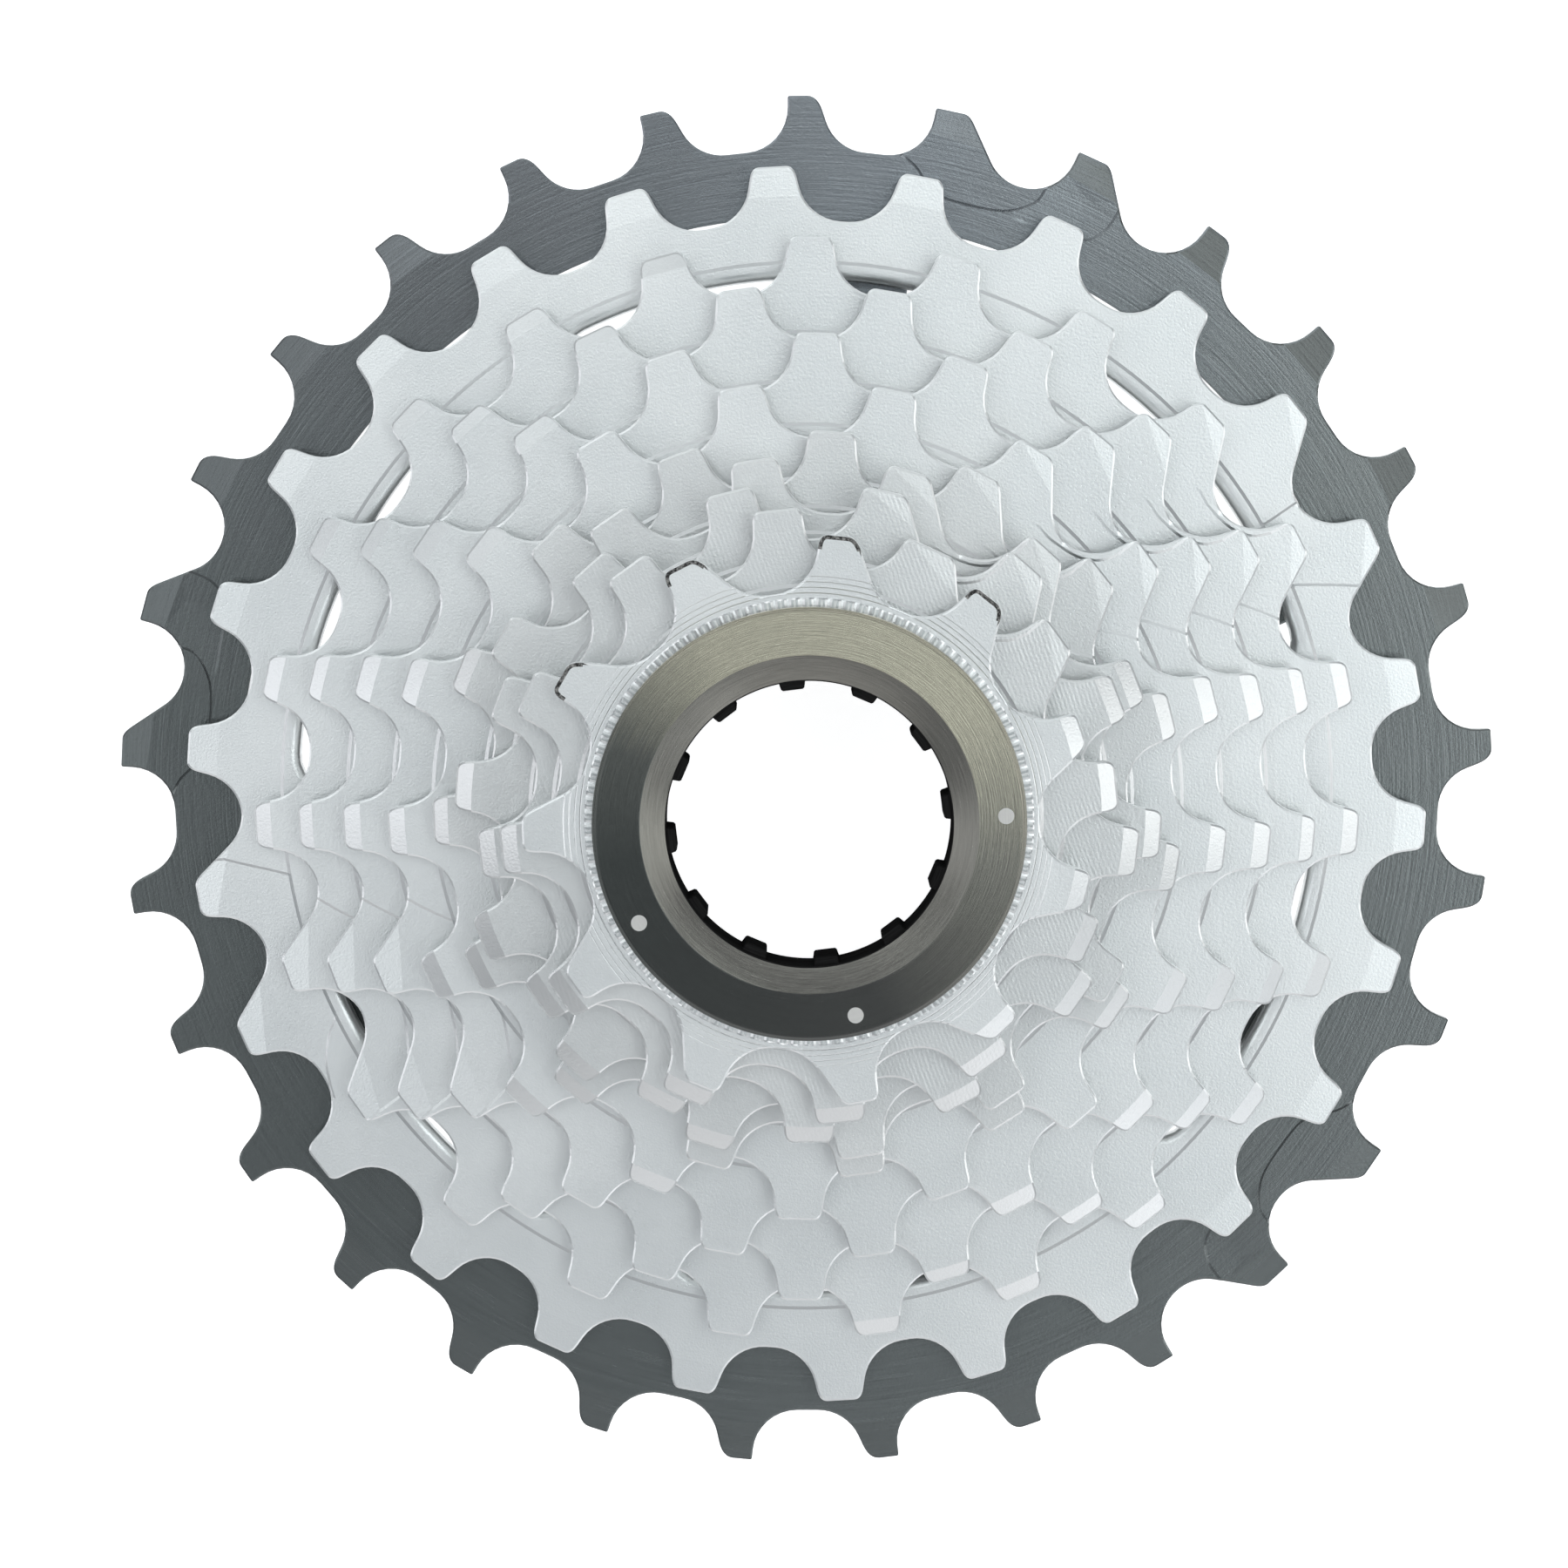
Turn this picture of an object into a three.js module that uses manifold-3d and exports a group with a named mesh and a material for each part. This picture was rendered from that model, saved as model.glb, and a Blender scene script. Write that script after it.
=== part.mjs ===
// An 11-speed road cassette: eleven loose sprockets on spline bores, the ring spacers
// between them, and the lockring that clamps the stack to a freehub body.
// Millimetres. The axis is Z, the largest sprocket's back face lies on Z = 0.
import * as THREE from 'three';
import { mergeVertices } from 'three/addons/utils/BufferGeometryUtils.js';
import Module from 'manifold-3d';

const wasm = await Module();
wasm.setup();

// ---- driving dimensions ----
const CHAIN_PITCH = 12.7;
const ROLLER_SEAT_DROP = 3.875;   // pitch circle down to the bottom of a tooth space
const TIP_RISE = 0.82;            // pitch circle up to the tooth tips
const SPROCKET_PITCH = 3.8;       // face to face along the axis
const PLATE = 1.6;                // thickness of a sprocket
const SEAT_GAP = 0.05;            // slip left on each side of a spacer
const LOCKRING_GAP = 0.3;         // between the flange and the end sprocket's serrated face
const SERRATED_LAND = 0.25;       // height of the end sprocket's serrated land

// Flanks. flat: from the middle of the tooth space to the start of the seat's arc. lean: how far
// the flank moves sideways per millimetre outward. corner: depth of the tip's cut corner.
const PLAIN_FLANK = { flat: 0.35, lean: 0.33, corner: 0.6 };
const GATE_FLANK = { flat: -0.7, lean: 0.93, corner: 0.5 };
const END_FLANK = { flat: 0.35, lean: 0.92, corner: 0.6 };
const HOOK_FRONT = { flat: 1.0, lean: 0.45, corner: 0.6 };
const HOOK_BACK = { flat: 0.8, lean: 0.1, corner: 0.15 };
const SEAT_RADIUS = 3.9;
const SEAT_STOPS = [0.2, 0.6, 1]; // where the seat's arc gets its points, as shares of its length
const TIP_CORNER_RUN = 0.7;       // length of the cut along the tip, as a share of its depth
const TIP_CORNER_LEAN_RUN = 0.6;  // what a leaning flank adds to that share, per unit of lean
const SHORT_TOOTH = 1.1;          // how much lower the one cut-down tooth is

// spline bore
const SPLINE_COUNT = 8;
const SPLINE_LAND_R = 15.3;
const SPLINE_GROOVE_R = 16.9;
const SPLINE_GROOVE_HALF = 2.4;
const SPACER_SLIP = 0.15;         // how much wider than that a spacer's bore is
const SPACER_CHAIN_CLEARANCE = 0.8;
const SPACER_MAX_R = 22;
const SPACER_STEPS = 28;

// lightening windows
const WINDOW_CORNER = 3.2;
const CORNER_CUT = 0.3;           // how far in a corner's middle point lies, as a share of it
const WINDOW_OUTER_STEPS = 5;
const WINDOW_INNER_STEPS = 3;

// lockring and the land it grips
const SERRATED_R = 18.25;
const FLANGE_R = 17.6;
const FLANGE_THICK = 2.2;
const FLANGE_EDGE = 0.3;
const MOUTH_R = 13.7;             // outer edge of the cone at the mouth of the bore
const MOUTH_DEPTH = 0.9;
const THREAD_R = 13.5;            // 27 x 1 thread
const THREAD_LENGTH = 5.8;
const BORE_R = 11.6;
const LUG_COUNT = 12;
const LUG_R = 10.9;
const LUG_WIDTH = 1.9;
const LUG_PHASE = 7;              // angle of one lug, in degrees
const LUG_ROOT = 0.5;             // how deep a lug sits in the wall
const LUG_END_GAP = 0.2;          // from each end of a lug to the end of the straight bore
const ROUND_STEPS = 40;

const STEEL = { color: 0xcdd2d4, roughness: 0.34, metalness: 0.9 };
const DARK_ALLOY = { color: 0x586062, roughness: 0.42, metalness: 0.75 };
const SPACER_ALLOY = { color: 0xb9bdc0, roughness: 0.4, metalness: 0.9 };
const BLACK_ALLOY = { color: 0x3a3d3c, roughness: 0.3, metalness: 0.85 };

// One entry per sprocket, largest first. clock: angle of one tooth, in degrees. front and back:
// the clockwise and anticlockwise flank of every tooth. gates: where each pair of shift-gate
// teeth, whose front flank is a gate flank, starts. short: the one cut-down tooth.
// windows: lightening windows between arms at the given angles.
const evenArms = (first) => Array.from({ length: 6 }, (_, i) => first + 60 * i);
const SPROCKETS = [
  { teeth: 29, clock: 3.1, front: HOOK_FRONT, back: HOOK_BACK, gates: [60, 160, 309],
    windows: { arms: [22.7, 82.5, 153, 206, 285.5, 332.5], width: 6, inner: 27, outer: 49.1 } },
  { teeth: 26, clock: 10.1, gates: [22, 190],
    windows: { arms: evenArms(7), width: 10, inner: 26, outer: 43.7 } },
  { teeth: 23, clock: 11.4, gates: [22, 196],
    windows: { arms: evenArms(0), width: 10, inner: 25, outer: 35.4 } },
  { teeth: 21, clock: 12.1, gates: [22, 196] },
  { teeth: 19, clock: 13.0, gates: [22, 196] },
  { teeth: 17, clock: 14.6, gates: [22] },
  { teeth: 15, clock: 14.3, gates: [22] },
  { teeth: 14, clock: 21.7, gates: [22] },
  { teeth: 13, clock: 20.9, gates: [22] },
  { teeth: 12, clock: 6.0, gates: [22], short: 2 },
  { teeth: 11, clock: 17.3, front: END_FLANK, gates: [] },
];

const rad = THREE.MathUtils.degToRad;
const polar = (r, a) => new THREE.Vector2(r * Math.cos(a), r * Math.sin(a));
const pitchRadius = (teeth) => CHAIN_PITCH / 2 / Math.sin(Math.PI / teeth);
const rootRadius = (teeth) => pitchRadius(teeth) - ROLLER_SEAT_DROP;

function mesh(name, geometry, look, z = 0) {
  const m = new THREE.Mesh(geometry, new THREE.MeshStandardMaterial(look));
  m.name = name;
  m.position.z = z;
  return m;
}

function solid(geometry) {
  const g = geometry.clone();
  g.deleteAttribute('normal');
  g.deleteAttribute('uv');
  const merged = mergeVertices(g, 1e-5);
  return new wasm.Manifold(new wasm.Mesh({
    numProp: 3,
    vertProperties: new Float32Array(merged.attributes.position.array),
    triVerts: new Uint32Array(merged.index.array),
  }));
}

function geometryOf(manifold) {
  const out = manifold.getMesh();
  const g = new THREE.BufferGeometry();
  g.setAttribute('position', new THREE.BufferAttribute(out.vertProperties, 3));
  g.setIndex(new THREE.BufferAttribute(out.triVerts, 1));
  return g;
}

// ---- tooth outline ----

// Half of a tooth space, as [u, v] pairs from its bottom out to the tip circle: the seat's
// arc, a straight leaning flank that is tangent to it, and a cut tip corner.
function spaceHalf({ flat, lean, corner: cut }, root, tip) {
  const wrap = Math.atan(1 / lean);
  const arc = SEAT_STOPS.map((t) => [
    flat + SEAT_RADIUS * Math.sin(wrap * t),
    SEAT_RADIUS * (1 - Math.cos(wrap * t)),
  ]);
  const foot = new THREE.Vector2(arc[2][0], root + arc[2][1]);
  const along = new THREE.Vector2(lean, 1).normalize();
  const reach = foot.dot(along);
  const inside = (tip - cut) ** 2 - foot.lengthSq();
  const corner = along.multiplyScalar(Math.sqrt(reach ** 2 + inside) - reach).add(foot);
  const run = cut * (TIP_CORNER_RUN + TIP_CORNER_LEAN_RUN * lean);
  const land = Math.atan2(corner.x, corner.y) + run / tip;
  return [
    ...arc,
    [corner.x, corner.y - root],
    [tip * Math.sin(land), tip * Math.cos(land) - root],
  ];
}

// Tooth indices of every shift-gate tooth: the two that follow each starting angle.
function gateTeeth({ teeth, clock, gates }) {
  const step = 360 / teeth;
  return gates.flatMap((start) => {
    const first = Math.ceil((start - clock) / step);
    return [first % teeth, (first + 1) % teeth];
  });
}

function toothOutline(sprocket) {
  const { teeth, clock, front = PLAIN_FLANK, back = PLAIN_FLANK, short } = sprocket;
  const root = rootRadius(teeth);
  const tip = pitchRadius(teeth) + TIP_RISE;
  const tipOf = (i) => (i === short ? tip - SHORT_TOOTH : tip);
  const leaning = gateTeeth(sprocket);
  const outline = [];
  for (let i = 0; i < teeth; i += 1) {
    // the space before tooth i runs from the back of tooth i - 1 to the front of tooth i
    const middle = rad(clock + (360 / teeth) * (i - 0.5));
    const near = spaceHalf(back, root, tipOf(i - 1)).map(([u, v]) => [-u, v]).reverse();
    const far = spaceHalf(leaning.includes(i) ? GATE_FLANK : front, root, tipOf(i));
    for (const [u, v] of [...near, ...far]) {
      outline.push(new THREE.Vector2(root + v, u).rotateAround(new THREE.Vector2(), middle));
    }
  }
  return outline;
}

// ---- holes ----

function splineBore(slip = 0) {
  const points = [];
  for (let i = 0; i < SPLINE_COUNT; i += 1) {
    const middle = (i * 2 * Math.PI) / SPLINE_COUNT;
    const landHalf = Math.asin(SPLINE_GROOVE_HALF / (SPLINE_LAND_R + slip));
    const grooveHalf = Math.asin(SPLINE_GROOVE_HALF / (SPLINE_GROOVE_R + slip));
    points.push(polar(SPLINE_LAND_R + slip, middle - landHalf));
    points.push(polar(SPLINE_GROOVE_R + slip, middle - grooveHalf));
    points.push(polar(SPLINE_GROOVE_R + slip, middle + grooveHalf));
    points.push(polar(SPLINE_LAND_R + slip, middle + landHalf));
  }
  return points;
}

// The window between two arms: straight sides along the arms, round inner and outer
// edges, and corners cut back by WINDOW_CORNER.
function windowOutline({ width, inner, outer }, before, after) {
  const halfArm = (r) => Math.asin(width / 2 / r);
  const start = (r) => before + halfArm(r);
  const end = (r) => after - halfArm(r);
  const along = (r, count) => {
    const cut = WINDOW_CORNER / r;
    return Array.from({ length: count + 1 }, (_, i) => {
      const from = start(r) + cut;
      return polar(r, from + ((end(r) - cut - from) * i) / count);
    });
  };
  const inset = CORNER_CUT * WINDOW_CORNER;
  const cornerAt = (r, towards, side, sign) => polar(r + towards * inset, side(r) + (sign * inset) / r);
  const outerEnd = outer - WINDOW_CORNER;
  const innerEnd = inner + WINDOW_CORNER;
  return [
    polar(outerEnd, start(outerEnd)),
    cornerAt(outer, -1, start, 1),
    ...along(outer, WINDOW_OUTER_STEPS),
    cornerAt(outer, -1, end, -1),
    polar(outerEnd, end(outerEnd)),
    polar(innerEnd, end(innerEnd)),
    cornerAt(inner, 1, end, -1),
    ...along(inner, WINDOW_INNER_STEPS).reverse(),
    cornerAt(inner, 1, start, 1),
    polar(innerEnd, start(innerEnd)),
  ];
}

function windowHoles(windows) {
  return windows.arms.map((arm, i) => {
    const next = windows.arms[(i + 1) % windows.arms.length];
    const after = next > arm ? next : next + 360;
    return windowOutline(windows, rad(arm), rad(after));
  });
}

// ---- pieces ----

function plate(outline, holes, thickness) {
  const shape = new THREE.Shape(outline);
  shape.holes = holes.map((points) => new THREE.Path(points));
  return new THREE.ExtrudeGeometry(shape, { depth: thickness, bevelEnabled: false });
}

function sprocketGeometry(sprocket) {
  const holes = [splineBore()];
  if (sprocket.windows) holes.push(...windowHoles(sprocket.windows));
  return plate(toothOutline(sprocket), holes, PLATE);
}

// The end sprocket also carries the serrated land that the lockring grips.
function endSprocketGeometry(sprocket) {
  const land = plate(circle(SERRATED_R, ROUND_STEPS), [splineBore()], PLATE + SERRATED_LAND);
  return geometryOf(solid(sprocketGeometry(sprocket)).add(solid(land)));
}

function circle(radius, steps) {
  return Array.from({ length: steps }, (_, i) => polar(radius, (i * 2 * Math.PI) / steps));
}

// A spacer clears the chain that runs on the smaller of its two neighbours.
function spacerGeometry(smallerTeeth) {
  const radius = Math.min(rootRadius(smallerTeeth) - SPACER_CHAIN_CLEARANCE, SPACER_MAX_R);
  const thickness = SPROCKET_PITCH - PLATE - 2 * SEAT_GAP;
  return plate(circle(radius, SPACER_STEPS), [splineBore(SPACER_SLIP)], thickness);
}

// Lockring, with Z = 0 at the underside of its flange.
function lockringGeometry() {
  const profile = [
    [BORE_R, -THREAD_LENGTH],
    [THREAD_R, -THREAD_LENGTH],
    [THREAD_R, 0],
    [FLANGE_R, 0],
    [FLANGE_R, FLANGE_THICK - FLANGE_EDGE],
    [FLANGE_R - FLANGE_EDGE, FLANGE_THICK],
    [MOUTH_R, FLANGE_THICK],
    [BORE_R, FLANGE_THICK - MOUTH_DEPTH],
    [BORE_R, -THREAD_LENGTH],
  ].map(([r, z]) => new THREE.Vector2(r, z));
  const ring = new THREE.LatheGeometry(profile, ROUND_STEPS);
  ring.rotateX(Math.PI / 2);
  let body = solid(ring);
  const lugLength = THREAD_LENGTH + FLANGE_THICK - MOUTH_DEPTH - 2 * LUG_END_GAP;
  const lugOuter = BORE_R + LUG_ROOT;
  for (let i = 0; i < LUG_COUNT; i += 1) {
    const lug = new THREE.BoxGeometry(lugOuter - LUG_R, LUG_WIDTH, lugLength);
    lug.translate((lugOuter + LUG_R) / 2, 0, lugLength / 2 - THREAD_LENGTH + LUG_END_GAP);
    lug.rotateZ(rad(LUG_PHASE + (360 / LUG_COUNT) * i));
    body = body.add(solid(lug));
  }
  return geometryOf(body);
}

// ---- assembly ----

const cassette = new THREE.Group();
const lookOf = (index) => (index === 0 ? DARK_ALLOY : STEEL);

SPROCKETS.forEach((sprocket, index) => {
  const last = index === SPROCKETS.length - 1;
  const geometry = last ? endSprocketGeometry(sprocket) : sprocketGeometry(sprocket);
  const z = SPROCKET_PITCH * index;
  cassette.add(mesh(`sprocket_${sprocket.teeth}t`, geometry, lookOf(index), z));
});

SPROCKETS.slice(1).forEach((sprocket, index) => {
  const larger = SPROCKETS[index].teeth;
  const name = `spacer_${larger}_${sprocket.teeth}`;
  const z = SPROCKET_PITCH * index + PLATE + SEAT_GAP;
  cassette.add(mesh(name, spacerGeometry(sprocket.teeth), SPACER_ALLOY, z));
});

const endFace = SPROCKET_PITCH * (SPROCKETS.length - 1) + PLATE + SERRATED_LAND;
cassette.add(mesh('lockring', lockringGeometry(), BLACK_ALLOY, endFace + LOCKRING_GAP));

export default cassette;
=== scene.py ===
"""An 11-speed road cassette lying on a light table: turned and blasted sprockets, ring
spacers and an anodised lockring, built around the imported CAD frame."""
import math

import bpy
import numpy as np
from mathutils import Matrix, Vector
from mathutils.geometry import delaunay_2d_cdt


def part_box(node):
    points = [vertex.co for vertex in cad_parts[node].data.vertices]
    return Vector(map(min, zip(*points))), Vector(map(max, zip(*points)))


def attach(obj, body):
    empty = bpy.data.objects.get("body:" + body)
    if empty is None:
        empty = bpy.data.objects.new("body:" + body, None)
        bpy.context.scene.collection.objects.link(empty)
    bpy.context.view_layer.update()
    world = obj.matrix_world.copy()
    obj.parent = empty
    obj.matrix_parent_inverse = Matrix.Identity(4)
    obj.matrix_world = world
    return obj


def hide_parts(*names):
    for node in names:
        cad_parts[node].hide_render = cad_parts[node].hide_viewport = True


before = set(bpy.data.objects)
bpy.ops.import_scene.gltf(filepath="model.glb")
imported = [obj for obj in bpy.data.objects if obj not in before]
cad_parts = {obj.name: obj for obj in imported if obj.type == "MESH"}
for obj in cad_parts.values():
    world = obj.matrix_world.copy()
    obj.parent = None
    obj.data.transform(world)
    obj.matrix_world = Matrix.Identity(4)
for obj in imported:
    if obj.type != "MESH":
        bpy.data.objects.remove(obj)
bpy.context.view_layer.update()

MM = 0.001

# ---- camera, in metres but for the lens ----
CAMERA_LENS = 153.16       # focal length in millimetres, on a 36 mm sensor
CAMERA_DISTANCE = 0.579    # from the largest sprocket's face
CAMERA_AXIS = (0.00221990, -0.07991643, 1)    # the cassette's own axis, as the camera sees it
CAMERA_SHIFT = (0.00196579, -0.00007561)      # the cassette's offset from the view's middle

# ---- driving dimensions, in millimetres as in the CAD source ----
CHAIN_PITCH = 12.7
ROLLER_SEAT_DROP = 3.875   # from the pitch circle down to the root circle
TIP_RISE = 0.82            # from the pitch circle out to the tips
PLATE = 1.6                # a sprocket's thickness
SEAT_RADIUS = 3.9          # the arc at the foot of a flank
# Flanks. flat: from the middle of the tooth space to the start of the seat's arc. lean: how far
# the flank moves sideways per millimetre outward. corner: size of the tip's rounded corner.
PLAIN_FLANK = {"flat": 0.35, "lean": 0.33, "corner": 0.9}
GATE_FLANK = {"flat": -0.7, "lean": 0.93, "corner": 0.7}
END_FLANK = {"flat": 0.35, "lean": 0.92, "corner": 0.9}
HOOK_FRONT = {"flat": 1.0, "lean": 0.45, "corner": 1.3}
HOOK_BACK = {"flat": 0.8, "lean": 0.1, "corner": 0.25}
TIP_ROUNDING = 0.02        # how far the rounded tips stay inside the CAD outline
SHORT_TOOTH = 1.1          # how much lower the cut-down tooth is
EDGE = 0.15                # width of the broken edge round every face
EDGE_DROP = 0.07           # and its height
CUT_SPACING = 0.36         # between the milled marks on two of the small sprockets
RIM_SHADE = 0.32                # width of the rough rim on some tips of the end sprocket, painted near-black as shade
RIM_SHADE_DEPTH = 1.1           # how far inward from the tip circle it reaches

SPLINE_COUNT = 8
SPLINE_LAND_R = 15.3
SPLINE_GROOVE_R = 16.9
SPLINE_GROOVE_HALF = 2.4   # half of a groove's width
SPACER_SLIP = 0.15         # a spacer's bore is this much wider than a sprocket's
WINDOW_CORNER = 3.4        # radius of a window's corners

BEVEL_SLOPE = 0.34         # fall of the turned bevel on the tooth tips
BACK_BEVEL_WIDTH = 0.8
STEP_DEPTH = 0.2           # the toothed ring lies this much below the plate's inner face
STEP_WALL = 0.3            # width of the slope between the two
LIP_BAND = 0.5             # flat band between a stamped window's rolled edge and the step
LIP_DROP = 0.75            # how far a window's rolled edge turns down
LIP_STEPS = (0.12, 0.3, 0.5, 0.75, 1.0)   # where across that edge the mesh has a loop
POCKET_WALL = 0.22         # width of the slope round a pocket
RING_DEPTH = 0.02          # fine turned rings on the end sprocket's face
RING_HALF = 0.06           # half of such a ring's width
FACET_REACH = 4.2          # half the length of the line along a facet's upper edge
TIP_SHADE_INNER = 55.5      # the largest sprocket's worked faces beyond this get their own material with painted shade
BEVEL_NORMAL_Z = (0.9, 0.9985)   # upward part of a worked face's normal; a flat face has 1

# ---- which edges are shaded sharp ----
PLATE_SHARP = 1.2          # degrees above which an edge of a plate's face is a real edge
TURNED_SHARP = 16          # the same for the lockring and the serrations
ROLLED_COS = 0.8           # neighbours in a rolled zone blend if the cosine between them is more
WALL_COS = 0.85            # the same for two upright walls
WALL_Z = 0.1               # a wall's normal points up or down by less than this

FLANGE_R = 17.6
MOUTH_R = 13.7             # where the flange's face turns down into the cone
BORE_R = 11.6
THREAD_R = 13.5
LUG_R = 10.9               # the lugs' crests
LUG_WIDTH = 1.9
LUG_COUNT = 12
LUG_PHASE = 7.0            # degrees
SERRATIONS = 102
SERRATED_R = 18.25         # outer radius of the serrated land
SERRATION_WAVE = [0.0, 0.0, 0.1, 0.3, 0.3, 0.1]   # one serration's heights, six steps round
GRIP_WAVE = [0.0, 0.0, 0.16, 0.16]                # one ridge under the flange, four steps round
FLANGE_THICK = 2.2
FLANGE_FALL = 0.13         # how much lower the flange's face is at its edge
THREAD_STEP = 0.125        # height between the mesh's rings along the thread
DOT_ANGLES = (2.6, -76.4, -150.0)
DOT_RADIUS = 15.9          # the etched dots' distance from the axis
DOT_SIZE = 1.3


def even_arms(first):
    """Six evenly spaced arm angles, in degrees."""
    return [first + 60 * i for i in range(6)]


def windows(arms, width, inner, outer):
    """Openings between arms of a width, from an inner to an outer radius."""
    return {"arms": arms, "width": width, "inner": inner, "outer": outer}


# A facet is (depth of its upper edge below the tip on the tooth's middle line, its turn in
# degrees from the tooth's own direction, its fall per millimetre). A pocket is a region lowered
# for the chain to climb through: edge is a curve round it as (u, v), u anticlockwise along the
# root circle from the first gate tooth, v inward from the tip circle; fades tells between which
# u its floor rises back to the face.
RIGHT_FACET = (1.0, -28.0, 0.028)
LEFT_FACET = (2.1, -19.0, 0.06)
HOOK_FACET = (2.4, -5.0, 0.07)
SMALL_START = [(-5.5, 4.5), (-3.3, 6.7), (-2.2, 7.8), (-1.6, 8.6)]
RIGHT_POCKET = {
    "edge": SMALL_START + [(9.4, 8.6), (9.2, 5.3), (6.5, 5.2), (4.0, 4.7), (2.4, 3.5), (1.8, 2.0)],
    "depth": 0.09, "fades": (1.0, 9.2)}
LEFT_POCKET = {
    "edge": SMALL_START + [(5.5, 8.6), (6.7, 8.2), (9.3, 7.4), (11.8, 6.1), (13.9, 4.8)], "depth": 0.13}
LARGE_RIGHT_POCKET = {
    "edge": [(-3.4, 3.0), (-1.3, 7.9), (-0.8, 9.0), (5.5, 9.0), (5.55, 7.9), (5.8, 4.6)], "depth": 0.15}
LARGE_LEFT_POCKET = {
    "edge": [(-2.9, 2.8), (-1.4, 6.6), (-0.5, 8.5), (0.0, 9.2), (10.5, 9.2), (11.9, 8.9), (14.0, 8.3),
             (15.7, 6.8), (17.8, 5.55), (20.7, 4.6)], "depth": 0.15}
HOOK_POCKETS = [
    {"edge": [(-3.7, 3.5), (-3.4, 5.3), (-1.9, 6.9), (2.0, 7.4), (5.9, 7.2), (5.9, 4.6)],
     "depth": 0.15, "fades": (-1.0, 5.0)},
    {"edge": [(2.9, 3.8), (3.4, 5.6), (5.9, 7.2), (9.9, 7.6), (12.7, 7.2), (14.9, 5.3), (16.3, 4.6)],
     "depth": 0.25}]


def gates(start, facet, *pockets):
    """A pair of shift-gate teeth, the first of them at or after the angle start."""
    return {"start": start, "facet": facet, "pockets": pockets}


RIGHT = gates(22, RIGHT_FACET, RIGHT_POCKET)
LEFT = gates(196, LEFT_FACET, LEFT_POCKET)

# One entry per sprocket, largest first. clock: angle of tooth 0, in degrees. front, back: flanks
# that differ from the plain one. gates: where each pair of shift-gate teeth starts and how it is
# worked. bevel: width and fall of the turned bevel. bare: teeth without that bevel. step: radius
# where the face steps down to the toothed ring. lip: the windows' edges are rolled over. short:
# the one cut-down tooth. rings: radii of fine turned rings. painted_shade_on: teeth whose rough rim is
# painted near-black as shade.
SPROCKETS = [
    {"teeth": 29, "clock": 3.1, "front": HOOK_FRONT, "back": HOOK_BACK,
     "gates": [gates(start, HOOK_FACET, *HOOK_POCKETS) for start in (60, 160, 309)],
     "bevel": (3.4, 0.16), "bare": [0, 7, 8, 9, 15, 16, 17, 27, 28],
     "windows": windows([22.7, 82.5, 153, 206, 285.5, 332.5], 6, 27, 49.1)},
    {"teeth": 26, "clock": 10.1, "step": 45.1, "bevel": (2.6, 0.026), "bare": [3, 4, 15, 16],
     "gates": [gates(22, RIGHT_FACET, LARGE_RIGHT_POCKET), gates(190, LEFT_FACET, LARGE_LEFT_POCKET)],
     "windows": windows(even_arms(7), 10, 26, 43.7), "lip": True},
    {"teeth": 23, "clock": 11.4, "step": 39.2, "bevel": (1.4, BEVEL_SLOPE), "bare": [3, 4, 5, 14, 15, 16],
     "gates": [RIGHT, LEFT], "windows": windows(even_arms(0), 10, 25, 35.4)},
    {"teeth": 21, "clock": 12.1, "step": 35.1, "bevel": (1.2, BEVEL_SLOPE), "bare": [3, 4, 5, 13, 14, 15],
     "gates": [RIGHT, LEFT]},
    {"teeth": 19, "clock": 13.0, "step": 31.5, "bevel": (1.5, BEVEL_SLOPE), "bare": [3, 4, 5, 12, 13, 14],
     "gates": [RIGHT, LEFT]},
    {"teeth": 17, "clock": 14.6, "step": 27.1, "bevel": (1.45, BEVEL_SLOPE), "bare": [3, 4, 5, 12, 13, 14],
     "gates": [RIGHT]},
    {"teeth": 15, "clock": 14.3, "step": 24.9, "bevel": (1.25, BEVEL_SLOPE), "bare": [3, 4, 5, 10, 11, 12],
     "gates": [RIGHT]},
    {"teeth": 14, "clock": 21.7, "step": 22.9, "bevel": (1.4, BEVEL_SLOPE), "bare": [3, 4, 5, 10, 11, 12],
     "gates": [RIGHT]},
    {"teeth": 13, "clock": 20.9, "step": 20.9, "bevel": (1.4, BEVEL_SLOPE), "bare": [3, 4, 5],
     "gates": [RIGHT]},
    {"teeth": 12, "clock": 6.0, "step": 18.9, "bevel": (1.4, BEVEL_SLOPE), "bare": [3, 4, 5],
     "gates": [RIGHT], "short": 2},
    {"teeth": 11, "clock": 17.3, "front": END_FLANK, "bevel": (1.4, BEVEL_SLOPE),
     "bare": list(range(1, 9)), "gates": [], "rings": [18.6, 19.05, 19.5, 19.95],
     "painted_shade_on": [1, 2, 3, 4]},
]


# ---- outlines ----

def pitch_radius(teeth):
    return CHAIN_PITCH / 2 / math.sin(math.pi / teeth)


def root_radius(teeth):
    return pitch_radius(teeth) - ROLLER_SEAT_DROP


def polar(r, a):
    return np.array([r * math.cos(a), r * math.sin(a)])


def rotated(points, angle):
    c, s = math.cos(angle), math.sin(angle)
    return np.asarray(points) @ np.array([[c, s], [-s, c]])


def circle(radius, steps):
    a = np.arange(steps) * 2 * math.pi / steps
    return np.stack([radius * np.cos(a), radius * np.sin(a)], 1)


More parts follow.
